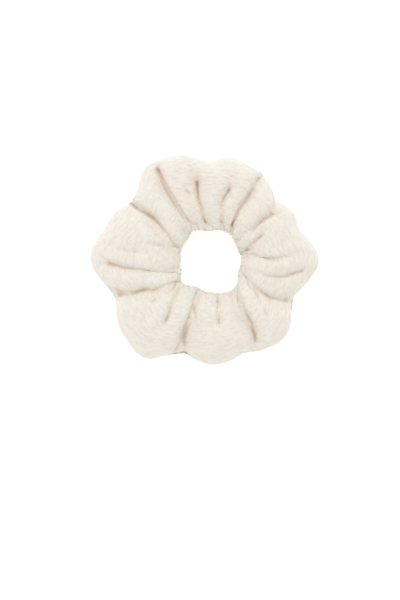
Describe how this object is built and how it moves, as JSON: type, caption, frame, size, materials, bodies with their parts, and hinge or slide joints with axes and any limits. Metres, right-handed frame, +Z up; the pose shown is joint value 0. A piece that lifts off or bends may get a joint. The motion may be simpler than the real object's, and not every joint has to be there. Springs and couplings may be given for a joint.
{
  "type": "scrunchie",
  "caption": "Gathered fabric scrunchie: a cream crinkle-cloth cover, sewn into a puffed ring round a loop of flat elastic, that stretches to hold a ponytail or bun.",
  "frame": {"origin": "under the middle of the whole ring, on the surface that it lies on; the hair hole's axis stands 3 mm to the +X side", "axes": "+Z up, along the hair hole's axis; +X across the ring's longer way, which is the way it stretches; +Y across its shorter way"},
  "size_m": [0.1146, 0.1054, 0.0249],
  "materials": {
    "cloth": "woven crinkle cloth, matte",
    "elastic": "braided flat elastic, matte",
    "elastic_thread": "spun polyester thread",
    "seam_thread": "spun polyester thread"
  },
  "bodies": {
    "left_half": {"cover_left": "cloth", "elastic_band": "elastic", "elastic_needle_thread": "elastic_thread", "elastic_bobbin_thread": "elastic_thread", "long_seam_needle_thread_left": "seam_thread", "long_seam_bobbin_thread_left": "seam_thread", "closing_seam_needle_thread": "seam_thread", "closing_seam_bobbin_thread": "seam_thread"},
    "right_half": {"cover_right": "cloth", "long_seam_needle_thread_right": "seam_thread", "long_seam_bobbin_thread_right": "seam_thread"}
  },
  "joints": [
    {"name": "stretch", "type": "slide", "parent": "left_half", "child": "right_half", "axis": [1, 0, 0], "range_m": [0, 0.06], "stiffness_N_per_m": 120, "deforming": ["elastic_band"]}
  ]
}
